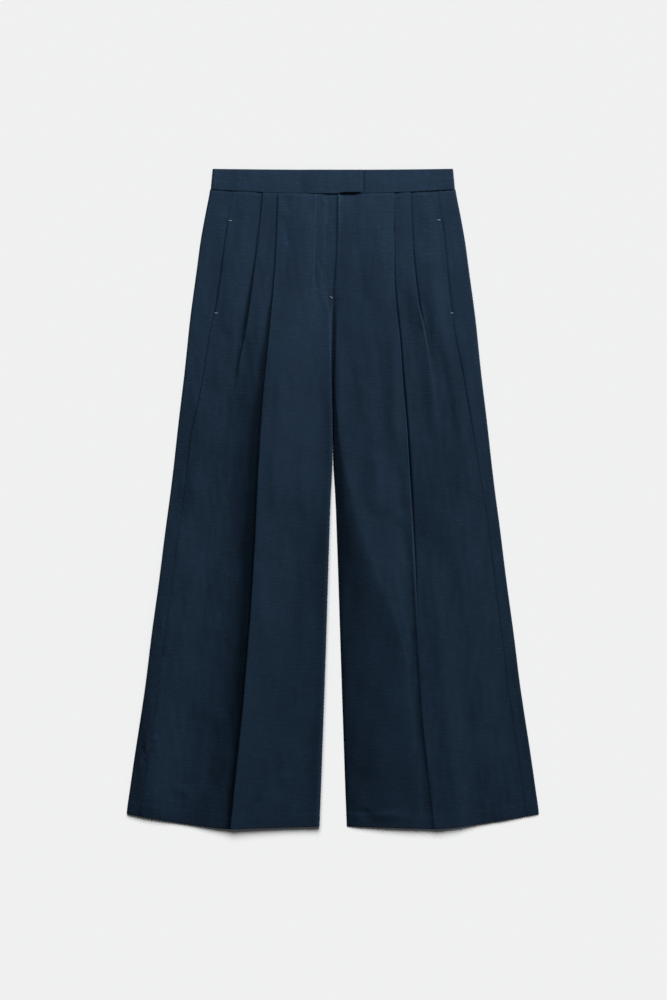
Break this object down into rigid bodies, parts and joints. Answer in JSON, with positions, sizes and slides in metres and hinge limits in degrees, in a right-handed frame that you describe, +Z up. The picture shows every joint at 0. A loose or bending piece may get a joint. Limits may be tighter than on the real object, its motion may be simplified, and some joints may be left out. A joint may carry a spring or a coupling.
{
  "type": "pleated trousers",
  "caption": "Wide-legged, high-waisted pleated trousers in navy linen, laid flat with the front up, with a lapped fly, a squared waist tab and slanted side pockets.",
  "frame": {"origin": "middle of the garment's outline, on the surface that it lies on", "axes": "+Y from the hems to the waist, +X to the wearer's left, +Z up out of the front"},
  "size_m": [0.6598, 1.054, 0.0187],
  "materials": {
    "navy_linen": "matt slubby plain weave",
    "pocketing": "matt smooth plain weave"
  },
  "bodies": {
    "root": {"front_right": "navy_linen", "front_left": "navy_linen", "back_right": "navy_linen", "back_left": "navy_linen", "waistband_right": "navy_linen", "waistband_left": "navy_linen", "pocket_bag_right": "pocketing", "pocket_bag_left": "pocketing"}
  },
  "joints": []
}
